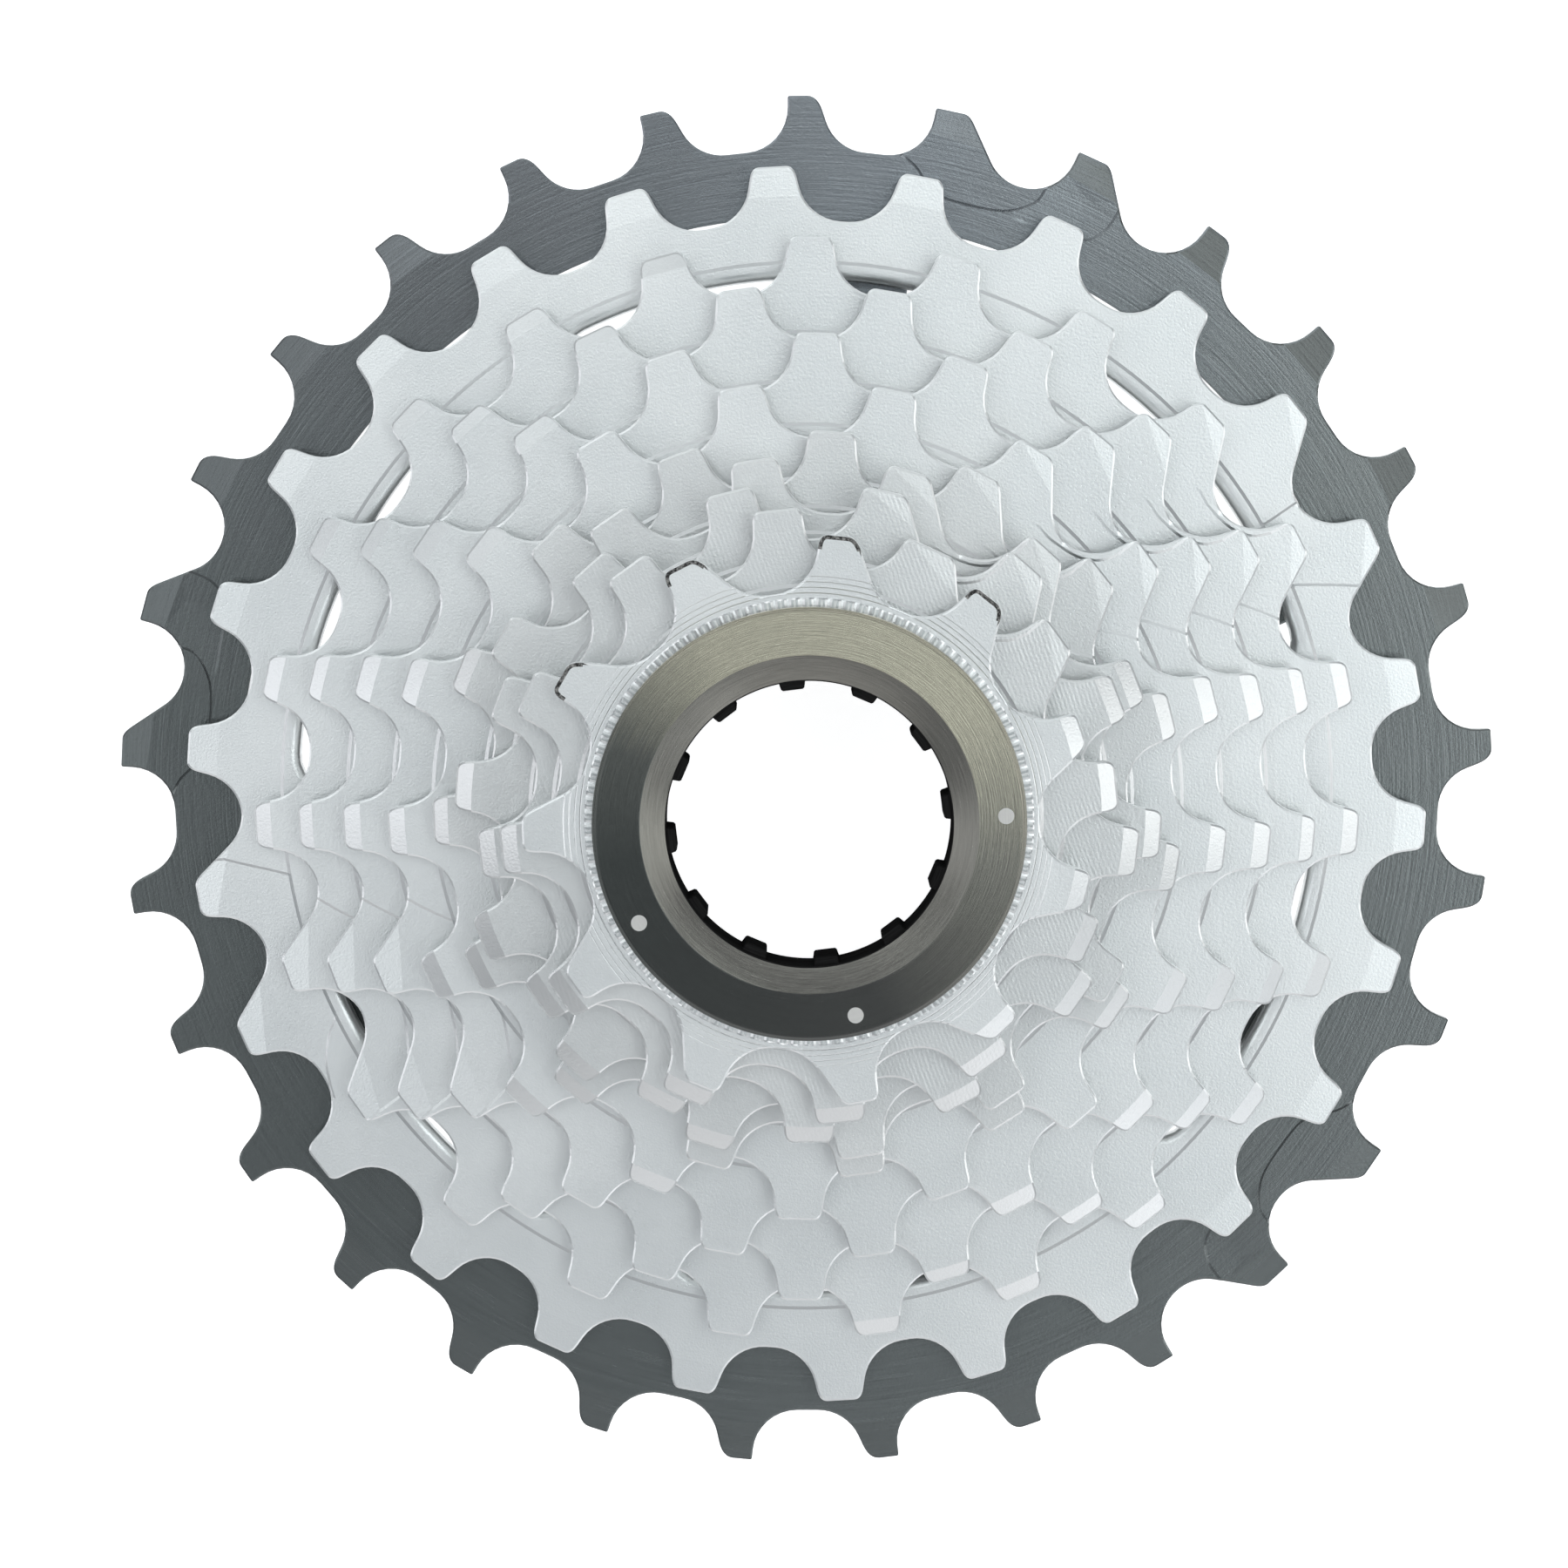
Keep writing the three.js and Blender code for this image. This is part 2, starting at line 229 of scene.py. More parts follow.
def space_half(flank, root, tip):
    """Half of a tooth space from its bottom to the tooth's tip, as points (outward, across)."""
    flat, lean, size = flank["flat"], flank["lean"], flank["corner"]
    wrap = math.atan(1 / lean)
    arc = [(root + SEAT_RADIUS * (1 - math.cos(wrap * t)), flat + SEAT_RADIUS * math.sin(wrap * t))
           for t in np.linspace(0, 1, 9)]
    foot = np.array([arc[-1][1], arc[-1][0]])
    along = np.array([lean, 1]) / math.hypot(lean, 1)

    def reach(radius):
        b = foot @ along
        return foot + along * (math.sqrt(b * b + radius ** 2 - foot @ foot) - b)

    start, peak = reach(tip - size), reach(tip)
    land = math.atan2(peak[0], peak[1]) + 0.7 * size / tip
    end = tip * np.array([math.sin(land), math.cos(land)])
    side = [foot + (start - foot) * t for t in (0.34, 0.67)]
    corner = [(1 - t) ** 2 * start + 2 * t * (1 - t) * peak + t * t * end for t in np.linspace(0, 1, 7)]
    return np.array(arc + [(p[1], p[0]) for p in side + corner])


def tip_radius(sprocket, tooth=None):
    drop = SHORT_TOOTH if tooth is not None and tooth == sprocket.get("short") else 0
    return pitch_radius(sprocket["teeth"]) + TIP_RISE - TIP_ROUNDING - drop


def gate_pairs(sprocket):
    """Each group of shift-gate teeth with the two tooth indices it covers."""
    teeth, step = sprocket["teeth"], 360 / sprocket["teeth"]
    pairs = []
    for group in sprocket["gates"]:
        first = math.ceil((group["start"] - sprocket["clock"]) / step)
        pairs.append((group, (first % teeth, (first + 1) % teeth)))
    return pairs


def tooth_outline(sprocket):
    """The sprocket's outer edge, anticlockwise, one tooth space after the other."""
    teeth, clock = sprocket["teeth"], sprocket["clock"]
    root = root_radius(teeth)
    front, back = sprocket.get("front", PLAIN_FLANK), sprocket.get("back", PLAIN_FLANK)
    leaning = [i for _, pair in gate_pairs(sprocket) for i in pair]
    outline = []
    for i in range(teeth):
        middle = math.radians(clock + 360 / teeth * (i - 0.5))
        near = (space_half(back, root, tip_radius(sprocket, i - 1)) * [1, -1])[::-1]
        far = space_half(GATE_FLANK if i in leaning else front, root, tip_radius(sprocket, i))
        outline.append(rotated(np.concatenate([near, far]), middle))
    return np.concatenate(outline)


def spline_bore(slip=0.0):
    """The grooved bore, anticlockwise, widened by slip."""
    points = []
    for i in range(SPLINE_COUNT):
        middle = i * 2 * math.pi / SPLINE_COUNT
        low, high = SPLINE_LAND_R + slip, SPLINE_GROOVE_R + slip
        a, b = math.asin(SPLINE_GROOVE_HALF / low), math.asin(SPLINE_GROOVE_HALF / high)
        points += [polar(high, middle + b * t) for t in np.linspace(-1, 1, 7)]
        points += [polar(low, middle + a + (2 * math.pi / SPLINE_COUNT - 2 * a) * t)
                   for t in np.linspace(0, 1, 7)]
    return np.array(points)


def window_outline(spec, before, after):
    """One opening, between the arms at the angles before and after."""
    half, inner, outer = spec["width"] / 2, spec["inner"], spec["outer"]
    c = WINDOW_CORNER

    def corner(r, towards, arm, sign):
        """A rounded corner where the edge at radius r meets the side of an arm."""
        out = []
        for t in np.linspace(0, math.pi / 2, 7):
            radius = r + towards * c * (1 - math.sin(t))
            side = arm + sign * (math.asin(half / radius) + c * (1 - math.cos(t)) / radius)
            out.append(polar(radius, side))
        return out

    def arc(r, start, end, count):
        cut = math.asin(half / r) + c / r
        return [polar(r, a) for a in np.linspace(start + cut, end - cut, count)[1:-1]]

    return np.array(
        corner(outer, -1, before, 1) + arc(outer, before, after, 26)
        + corner(outer, -1, after, -1)[::-1]
        + corner(inner, 1, after, -1) + arc(inner, before, after, 14)[::-1]
        + corner(inner, 1, before, 1)[::-1])


def window_outlines(spec):
    arms = spec["arms"]
    pairs = zip(arms, arms[1:] + [arms[0] + 360])
    return [window_outline(spec, math.radians(a), math.radians(b)) for a, b in pairs]


# ---- flat pieces with worked faces ----

def signed_area(points):
    x, y = points[:, 0], points[:, 1]
    return 0.5 * np.sum(x * np.roll(y, -1) - y * np.roll(x, -1))


def offset(points, distance):
    """The loop moved into the material: inwards for an outline, outwards for a hole."""
    before, after = points - np.roll(points, 1, 0), np.roll(points, -1, 0) - points
    n = [np.stack([-d[:, 1], d[:, 0]], 1) / np.linalg.norm(d, axis=1)[:, None] for d in (before, after)]
    middle = n[0] + n[1]
    length = np.sum(middle * middle, 1)
    return points + distance * 2 * middle / np.maximum(length, 1.0)[:, None]


def distance_to(points, loop):
    """Distance of every point to a closed loop."""
    a, b = loop, np.roll(loop, -1, 0)
    ab = b - a
    best = np.full(len(points), 1e9)
    for k in range(0, len(points), 400):
        p = points[k:k + 400, None] - a[None]
        t = np.clip(np.sum(p * ab, 2) / np.sum(ab * ab, 1), 0, 1)
        best[k:k + 400] = np.min(np.linalg.norm(p - t[..., None] * ab, axis=2), 1)
    return best


def inside(points, loop):
    """Which points lie inside a closed loop."""
    x, y = points[:, 0], points[:, 1]
    a, b = loop, np.roll(loop, -1, 0)
    crossings = np.zeros(len(points), int)
    for (x0, y0), (x1, y1) in zip(a, b):
        if y0 != y1:
            hit = ((y0 > y) != (y1 > y)) & (x < (x1 - x0) * (y - y0) / (y1 - y0) + x0)
            crossings += hit
    return crossings % 2 == 1


def triangulated(outline, holes, loops, lines):
    """Points and triangles of the outline less its holes, with every loop and line as edges."""
    coords, edges = [], []
    closed = [outline, *holes, *loops]
    for chain, shut in [(c, True) for c in closed] + [(c, False) for c in lines]:
        base = len(coords)
        coords += [Vector(p) for p in chain]
        edges += [(base + i, base + i + 1) for i in range(len(chain) - 1)]
        if shut:
            edges.append((base + len(chain) - 1, base))
    points, _, faces, *_ = delaunay_2d_cdt(coords, edges, [], 0, 1e-5)
    points = np.array([tuple(p) for p in points])
    faces = np.array([f for f in faces if len(f) == 3])
    middle = points[faces].mean(1)
    keep = inside(middle, outline)
    for hole in holes:
        keep &= ~inside(middle, hole)
    faces = faces[keep]
    used = np.unique(faces)
    index = np.full(len(points), -1)
    index[used] = np.arange(len(used))
    return points[used], index[faces]


def mesh_object(name, vertices, faces, material, sharp_angle=TURNED_SHARP, smooth_zone=None):
    """A mesh in metres from millimetre vertices, smooth except across real edges."""
    mesh = bpy.data.meshes.new(name)
    corners = [tuple(v * MM) for v in np.asarray(vertices, float)]
    mesh.from_pydata(corners, [], [list(map(int, f)) for f in faces])
    mesh.validate()
    mesh.materials.append(material)
    mesh.polygons.foreach_set("use_smooth", [True] * len(mesh.polygons))
    normals = np.array([p.normal for p in mesh.polygons])
    owners = {}
    for p in mesh.polygons:
        for key in p.edge_keys:
            owners.setdefault(key, []).append(p.index)
    limit = math.cos(math.radians(sharp_angle))
    for edge in mesh.edges:
        pair = owners.get(tuple(sorted(edge.vertices)), [])
        bend = normals[pair[0]] @ normals[pair[1]] if len(pair) == 2 else -1
        in_zone = smooth_zone is not None and smooth_zone[list(edge.vertices)].all()
        rolled = in_zone and bend > ROLLED_COS
        walls = len(pair) == 2 and all(abs(normals[i][2]) < WALL_Z for i in pair)
        round_wall = walls and bend > WALL_COS
        edge.use_edge_sharp = bool(bend < limit and not rolled and not round_wall)
    piece = bpy.data.objects.new(name, mesh)
    bpy.context.scene.collection.objects.link(piece)
    return piece


def plate_piece(name, outline, holes, loops, lines, top, bottom, material, smooth_zone=None):
    """A plate whose upper and lower faces follow the height functions top and bottom."""
    rims = [outline, *holes]
    loops = loops + [offset(rim, EDGE) for rim in rims]
    points, faces = triangulated(outline, holes, loops, lines)
    to_rim = np.min([distance_to(points, rim) for rim in rims], 0)
    broken = EDGE_DROP * (1 - np.clip(to_rim / EDGE, 0, 1))
    count = len(points)
    upper = np.column_stack([points, top(points) - broken])
    lower = np.column_stack([points, bottom(points) + broken])
    area = np.cross(points[faces[:, 1]] - points[faces[:, 0]], points[faces[:, 2]] - points[faces[:, 0]])
    faces = np.where(area[:, None] < 0, faces[:, ::-1], faces)
    directed = dict.fromkeys(edge for a, b, c in faces for edge in ((a, b), (b, c), (c, a)))
    rim_edges = [e for e in directed if (e[1], e[0]) not in directed]
    walls = [(b, a, a + count, b + count) for a, b in rim_edges]
    everything = [tuple(f) for f in faces] + [tuple(f[::-1] + count) for f in faces] + walls
    zone = None
    if smooth_zone is not None:
        flags = smooth_zone(points) & (to_rim > 0.5 * EDGE)
        zone = np.concatenate([flags, flags])
    return mesh_object(name, np.concatenate([upper, lower]), everything, material, PLATE_SHARP, zone)


def gate_facets(sprocket):
    """For each shift-gate tooth: its index, a point on the facet's upper edge, and the facet's
    fall as a direction and per millimetre."""
    facets = []
    for group, pair in gate_pairs(sprocket):
        depth, turn, slope = group["facet"]
        for i in pair:
            direction = math.radians(sprocket["clock"] + 360 / sprocket["teeth"] * i)
            start = polar(tip_radius(sprocket, i) - depth, direction)
            facets.append((i, start, polar(1, direction + math.radians(turn)), slope))
    return facets


def resampled(points, spacing):
    """The closed chain with every side cut into pieces no longer than spacing."""
    out = []
    for a, b in zip(points, np.roll(points, -1, 0)):
        count = max(1, math.ceil(np.linalg.norm(b - a) / spacing))
        out += [a + (b - a) * t for t in np.arange(count) / count]
    return np.array(out)


def curve_through(points, count=5):
    """A smooth open curve through all the points."""
    p = np.array([points[0], *points, points[-1]], float)
    out = []
    for a, b, c, d in zip(p, p[1:], p[2:], p[3:]):
        for t in np.arange(count) / count:
            out.append(b + 0.5 * ((c - a) * t + (2 * a - 5 * b + 4 * c - d) * t ** 2
                                  + (3 * b - a - 3 * c + d) * t ** 3))
    return np.array(out + [p[-2]])


def pocket_regions(sprocket):
    """For each pocket: its outline, the angle of its u = 0, and the pocket itself."""
    teeth = sprocket["teeth"]
    tip, scale = tip_radius(sprocket), root_radius(teeth) + 2
    regions = []
    for group, (first, _) in gate_pairs(sprocket):
        middle = math.radians(sprocket["clock"] + 360 / teeth * first)
        for pocket in group["pockets"]:
            edge = curve_through(pocket["edge"])
            cap = [(edge[-1][0], -1.5), (edge[0][0], -1.5)]
            chain = resampled(np.concatenate([edge, cap]), 0.6)
            outline = np.array([polar(tip - v, middle + u / scale) for u, v in chain])
            regions.append((outline, middle, pocket))
    return regions


def pocket_floor(points, regions, scale):
    """How far the pockets lower the face."""
    depth = np.zeros(len(points))
    for outline, middle, pocket in regions:
        share = np.clip(distance_to(points, outline) / POCKET_WALL, 0, 1) * inside(points, outline)
        if "fades" in pocket:
            start, end = pocket["fades"]
            angle = np.arctan2(points[:, 1], points[:, 0]) - middle
            u = ((angle + math.pi) % (2 * math.pi) - math.pi) * scale
            share *= 1 - np.clip((u - start) / (end - start), 0, 1)
        depth = np.maximum(depth, pocket["depth"] * share)
    return depth


def pocket_loops(regions):
    """The outline of every pocket, and the foot of the slope inside it."""
    loops = []
    for region, _, _ in regions:
        turn = 1 if signed_area(region) > 0 else -1
        loops += [region, offset(region, turn * POCKET_WALL)]
    return loops


def facet_lines(facets):
    """The upper edge of every facet, as a line across its tooth."""
    lines = []
    for _, start, fall, _ in facets:
        across = np.array([-fall[1], fall[0]])
        lines.append([start - FACET_REACH * across, start + FACET_REACH * across])
    return lines


def paint_rim_shade(piece, outline, tip, chosen):
    """Give the rough rims of the chosen teeth their own material, painted near-black as shade."""
    mesh = piece.data
    mesh.materials.append(rim_shade_material())
    middle = np.array([tuple(p.center) for p in mesh.polygons])[:, :2] / MM
    up = np.array([p.normal.z for p in mesh.polygons]) > 0.3
    rim = distance_to(middle, outline) < RIM_SHADE
    rim &= (np.linalg.norm(middle, axis=1) > tip - RIM_SHADE_DEPTH) & chosen(middle) & up
    for polygon in np.flatnonzero(rim):
        mesh.polygons[int(polygon)].material_index = 1


def make_sprocket(sprocket, material):
    """One sprocket: a toothed plate with its bevels, facets, pockets, step and rolled windows."""
    teeth = sprocket["teeth"]
    name = f"sprocket_{teeth}t"
    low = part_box(name)[0].z / MM
    root, tip = root_radius(teeth), tip_radius(sprocket)
    outline = tooth_outline(sprocket)
    openings = window_outlines(sprocket["windows"]) if "windows" in sprocket else []
    openings = [w if signed_area(w) < 0 else w[::-1] for w in openings]
    bore = spline_bore()
    holes = [bore if signed_area(bore) < 0 else bore[::-1]] + openings
    width, slope = sprocket["bevel"]
    bevel_r, back_r = tip - width, tip - BACK_BEVEL_WIDTH
    step_r, rings = sprocket.get("step"), sprocket.get("rings", [])
    facets, regions = gate_facets(sprocket), pocket_regions(sprocket)
    bare = sprocket["bare"] + [facet[0] for facet in facets]
    pitch_angle = 360 / teeth
    lip = sprocket["step"] - LIP_BAND - sprocket["windows"]["outer"] if "lip" in sprocket else 0

    def tooth_of(points):
        angle = np.degrees(np.arctan2(points[:, 1], points[:, 0]))
        return np.round((angle - sprocket["clock"]) / pitch_angle).astype(int) % teeth

    def near_window(points):
        return np.min([distance_to(points, w) for w in openings], 0) < lip + 0.05

    def rolled(points):
        """How far the rolled edge of the windows has dropped."""
        if not lip:
            return np.zeros(len(points))
        d = np.min([distance_to(points, w) for w in openings], 0)
        s = np.clip(1 - d / lip, 0, 1)
        return LIP_DROP * (1 - np.sqrt(1 - 0.96 * s * s))

    def top(points):
        r = np.linalg.norm(points, axis=1)
        z = np.full(len(points), low + PLATE)
        if step_r:
            z -= STEP_DEPTH * np.clip((r - step_r) / STEP_WALL, 0, 1)
        for ring in rings:
            z -= RING_DEPTH * (np.abs(r - ring) < 0.01)
        owner = tooth_of(points)
        bevel = slope * np.clip(r - bevel_r, 0, None) * ~np.isin(owner, bare)
        for i, start, fall, facet_slope in facets:
            mine = (owner == i) & (r > root + 0.4)
            bevel[mine] = facet_slope * np.clip((points[mine] - start) @ fall, 0, None)
        ring_only = np.clip((r - (step_r or 0)) / STEP_WALL, 0, 1)
        return z - bevel - rolled(points) - pocket_floor(points, regions, root + 2) * ring_only

    def bottom(points):
        r = np.linalg.norm(points, axis=1)
        back = BEVEL_SLOPE * np.clip(r - back_r, 0, None)
        return low + back + 0.5 * rolled(points)

    loops = [circle(bevel_r, 720), circle(back_r, 720)]
    loops += [circle(r, 360) for ring in rings for r in (ring - RING_HALF, ring, ring + RING_HALF)]
    if step_r:
        loops += [circle(step_r, 360), circle(step_r + STEP_WALL, 360)]
    if lip:
        loops += [offset(w, lip * t) for w in openings for t in LIP_STEPS]
    if "painted_shade_on" in sprocket:
        loops.append(offset(outline, RIM_SHADE))
    loops += pocket_loops(regions)
    piece = plate_piece(name + "_turned", outline, holes, loops, facet_lines(facets), top, bottom,
                        material, near_window if lip else None)
    if "painted_shade_on" in sprocket:
        paint_rim_shade(piece, outline, tip, lambda p: np.isin(tooth_of(p), sprocket["painted_shade_on"]))
    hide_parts(name)
    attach(piece, "end_sprocket" if teeth == 11 else "sprocket_stack")
    return piece


def paint_tip_shade(piece, material):
    """Give the front bevels and facets at the tips a material of their own, painted darker as shade."""
    slot = len(piece.data.materials)
    piece.data.materials.append(material)
    for polygon in piece.data.polygons:
        worked = BEVEL_NORMAL_Z[0] < polygon.normal.z < BEVEL_NORMAL_Z[1]
        if worked and polygon.center.xy.length > TIP_SHADE_INNER * MM:
            polygon.material_index = slot


def make_spacer(larger, smaller, material):
    """The plain ring between two sprockets."""
    name = f"spacer_{larger}_{smaller}"
    low, high = (corner.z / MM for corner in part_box(name))
    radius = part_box(name)[1].x / MM
    bore = spline_bore(SPACER_SLIP)[::-1]
    piece = plate_piece(
        name + "_turned", circle(radius, 160), [bore], [circle(radius - 0.35, 160)], [],
        lambda p: np.full(len(p), high), lambda p: np.full(len(p), low), material)
    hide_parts(name)
    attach(piece, "sprocket_stack")


# ---- materials ----

class Nodes:
    """Short names for building a node material."""

    def __init__(self, name):
        self.material = bpy.data.materials.new(name)
        self.material.use_nodes = True
        self.tree = self.material.node_tree
        self.shader = self.tree.nodes["Principled BSDF"]

    def add(self, kind, **settings):
        node = self.tree.nodes.new(kind)
        for key, value in settings.items():
            if key in node.inputs:
                node.inputs[key].default_value = value
            else:
                setattr(node, key, value)
        return node

    def join(self, source, target):
        self.tree.links.new(source, target)

    def math(self, operation, *values):
        node = self.add("ShaderNodeMath", operation=operation)
        for socket, value in zip(node.inputs, values):
            if isinstance(value, bpy.types.NodeSocket):
                self.join(value, socket)
            else:
                socket.default_value = value
        return node.outputs[0]

    def noise(self, vector, scale, detail=3.0, rough=0.55):
        node = self.add("ShaderNodeTexNoise", Scale=scale, Detail=detail, Roughness=rough)
        self.join(vector, node.inputs["Vector"])
        return node.outputs["Fac"]

    def mix(self, factor, first, second):
        """The second colour where factor is 1, the first where it is 0."""
        node = self.add("ShaderNodeMix", data_type="RGBA")
        self.join(factor, node.inputs["Factor"])
        self.join(first, [i for i in node.inputs if i.name == "A" and i.type == "RGBA"][0])
        self.join(second, [i for i in node.inputs if i.name == "B" and i.type == "RGBA"][0])
        return [o for o in node.outputs if o.type == "RGBA"][0]

    def ramp(self, factor, *stops):
        node = self.add("ShaderNodeValToRGB")
        elements = node.color_ramp.elements
        while len(elements) < len(stops):
            elements.new(0.5)
        for element, (position, colour) in zip(elements, stops):
            element.position = position
            element.color = (*colour, 1) if len(colour) == 3 else colour
        self.join(factor, node.inputs["Fac"])
        return node.outputs["Color"]

    def bumps(self, *layers):
        """A chain of bump nodes, each from (height, strength, distance)."""
        normal = None
        for height, strength, distance in layers:
            node = self.add("ShaderNodeBump", Strength=strength, Distance=distance)
            self.join(height, node.inputs["Height"])
            if normal is not None:
                self.join(normal, node.inputs["Normal"])
            normal = node.outputs["Normal"]
        self.join(normal, self.shader.inputs["Normal"])


def object_space(n, streak=0.0004):
    """Object coordinates in metres, the distance from the axis, and a turned-marks vector."""
    coords = n.add("ShaderNodeTexCoord").outputs["Object"]
    split = n.add("ShaderNodeSeparateXYZ")
    n.join(coords, split.inputs[0])
    x, y, z = split.outputs
    radius = n.math("SQRT", n.math("ADD", n.math("MULTIPLY", x, x), n.math("MULTIPLY", y, y)))
    angle = n.math("ARCTAN2", y, x)
    turned = n.add("ShaderNodeCombineXYZ")
    n.join(radius, turned.inputs[0])
    n.join(n.math("MULTIPLY", angle, streak), turned.inputs[1])
    n.join(n.math("MULTIPLY", z, 0.2), turned.inputs[2])
    return coords, radius, turned.outputs[0]


def steel_material(name="plated_steel", low=(0.655, 0.68, 0.685), high=(0.71, 0.73, 0.732), milled=False):
    """Plated steel with a blasted grain; milled adds faint slanting cutter marks to the faces."""
    n = Nodes(name)
    coords, _, turned = object_space(n)
    cloud = n.noise(coords, 55, 4)
    grain = n.noise(coords, 5200, 2, 0.6)
    marks = n.noise(turned, 5200, 2, 0.6)
    n.join(n.ramp(cloud, (0.3, low), (0.7, high)), n.shader.inputs["Base Color"])
    blotch = n.math("MULTIPLY", cloud, 0.1)
    fine = n.math("MULTIPLY", grain, 0.12)
    n.join(n.math("ADD", n.math("ADD", blotch, fine), 0.2), n.shader.inputs["Roughness"])
    layers = [(grain, 0.34, 0.00004), (marks, 0.1, 0.00003)]
    if milled:
        split = n.add("ShaderNodeSeparateXYZ")
        n.join(coords, split.inputs[0])
        along_x = n.math("MULTIPLY", split.outputs[0], 0.94)
        along_y = n.math("MULTIPLY", split.outputs[1], 0.34)
        across = n.math("ADD", along_x, along_y)
        wander = n.math("MULTIPLY", n.noise(coords, 420, 2), 5.0)
        turns = n.math("MULTIPLY", across, 2 * math.pi / (CUT_SPACING * MM))
        cuts = n.math("SINE", n.math("ADD", turns, wander))
        worn = n.math("MULTIPLY", cuts, n.math("POWER", n.noise(coords, 240, 2), 2.0))
        layers.append((worn, 0.22, 0.00002))
    n.bumps(*layers)
    n.shader.inputs["Metallic"].default_value = 1.0
    return n.material


def rim_shade_material():
    """Rough metal at the rim of a tooth, its near-black colour painted shade."""
    n = Nodes("painted_shade_on_rim")
    coords, _, _ = object_space(n)
    grain = n.noise(coords, 3500, 3, 0.7)
    n.join(n.ramp(grain, (0.42, (0.02, 0.02, 0.02)), (0.62, (0.3, 0.3, 0.29))), n.shader.inputs["Base Color"])
    n.join(n.math("ADD", n.math("MULTIPLY", grain, 0.3), 0.45), n.shader.inputs["Roughness"])
    n.bumps((grain, 0.9, 0.00012))
    n.shader.inputs["Metallic"].default_value = 0.6
    return n.material


def dark_material(on_tips=False):
    """Dark anodised coat, its random tone mixed with painted light and shade round the sprocket, lighter
    towards the top and darkest at the lower left; on_tips gives the bevels' material, painted darker as
    shade.
    """
    n = Nodes("dark_tips_painted_shade" if on_tips else "dark_anodised")
    coords, _, turned = object_space(n, 0.0016)
    cloud = n.noise(coords, 40, 4)
    grain = n.noise(coords, 4200, 2, 0.6)
    marks = n.noise(turned, 4200, 3, 0.65)
    split = n.add("ShaderNodeSeparateXYZ")
    n.join(coords, split.inputs[0])
    turn = n.math("DIVIDE", n.math("ARCTAN2", split.outputs[1], split.outputs[0]), 2 * math.pi)
    around = n.math("FRACT", n.math("ADD", turn, n.math("MULTIPLY", marks, 0.05)))
    if on_tips:
        # painted shade on the tip bevels, changing round the sprocket: lightest near the top, darker
        # elsewhere
        coat_and_painted_shade = n.ramp(around, (0.0, (0.136, 0.149, 0.15)), (0.08, (0.1, 0.108, 0.107)),
                      (0.19, (0.1, 0.108, 0.107)), (0.27, (0.22, 0.24, 0.26)), (0.4, (0.12, 0.13, 0.135)),
                      (0.55, (0.11, 0.122, 0.122)), (0.76, (0.145, 0.16, 0.16)),
                      (0.88, (0.125, 0.137, 0.137)), (1.0, (0.136, 0.149, 0.15)))
    else:
        # painted light and shade: lighter towards the top, darkest at the lower left
        coat_and_painted_shade = n.ramp(around, (0.0, (0.16, 0.175, 0.176)), (0.11, (0.2, 0.218, 0.218)),
                      (0.25, (0.25, 0.275, 0.3)), (0.36, (0.142, 0.152, 0.162)), (0.5, (0.102, 0.114, 0.114)),
                      (0.64, (0.1, 0.112, 0.112)), (0.76, (0.145, 0.16, 0.16)), (1.0, (0.16, 0.175, 0.176)))
        worn = n.ramp(cloud, (0.3, (0.12, 0.134, 0.136)), (0.7, (0.165, 0.181, 0.184)))
        coat_and_painted_shade = n.mix(n.math("ADD", n.math("MULTIPLY", cloud, 0.3), 0.6), worn, coat_and_painted_shade)
    n.join(coat_and_painted_shade, n.shader.inputs["Base Color"])
    n.join(n.math("ADD", n.math("MULTIPLY", marks, 0.2), 0.14), n.shader.inputs["Roughness"])
    n.bumps((marks, 0.36, 0.00005), (grain, 0.3, 0.00004))
    n.shader.inputs["Metallic"].default_value = 0.85
    n.shader.inputs["Specular IOR Level"].default_value = 0.6
    return n.material


def spacer_material():
    """Bare turned aluminium."""
    n = Nodes("turned_alloy")
    coords, _, turned = object_space(n)
    cloud = n.noise(coords, 60, 3)
    marks = n.noise(turned, 3800, 2, 0.6)
    n.join(n.ramp(cloud, (0.3, (0.5, 0.51, 0.52)), (0.7, (0.58, 0.59, 0.6))), n.shader.inputs["Base Color"])
    n.join(n.math("ADD", n.math("MULTIPLY", marks, 0.2), 0.28), n.shader.inputs["Roughness"])
    n.bumps((marks, 0.35, 0.00005))
    n.shader.inputs["Metallic"].default_value = 1.0
    return n.material


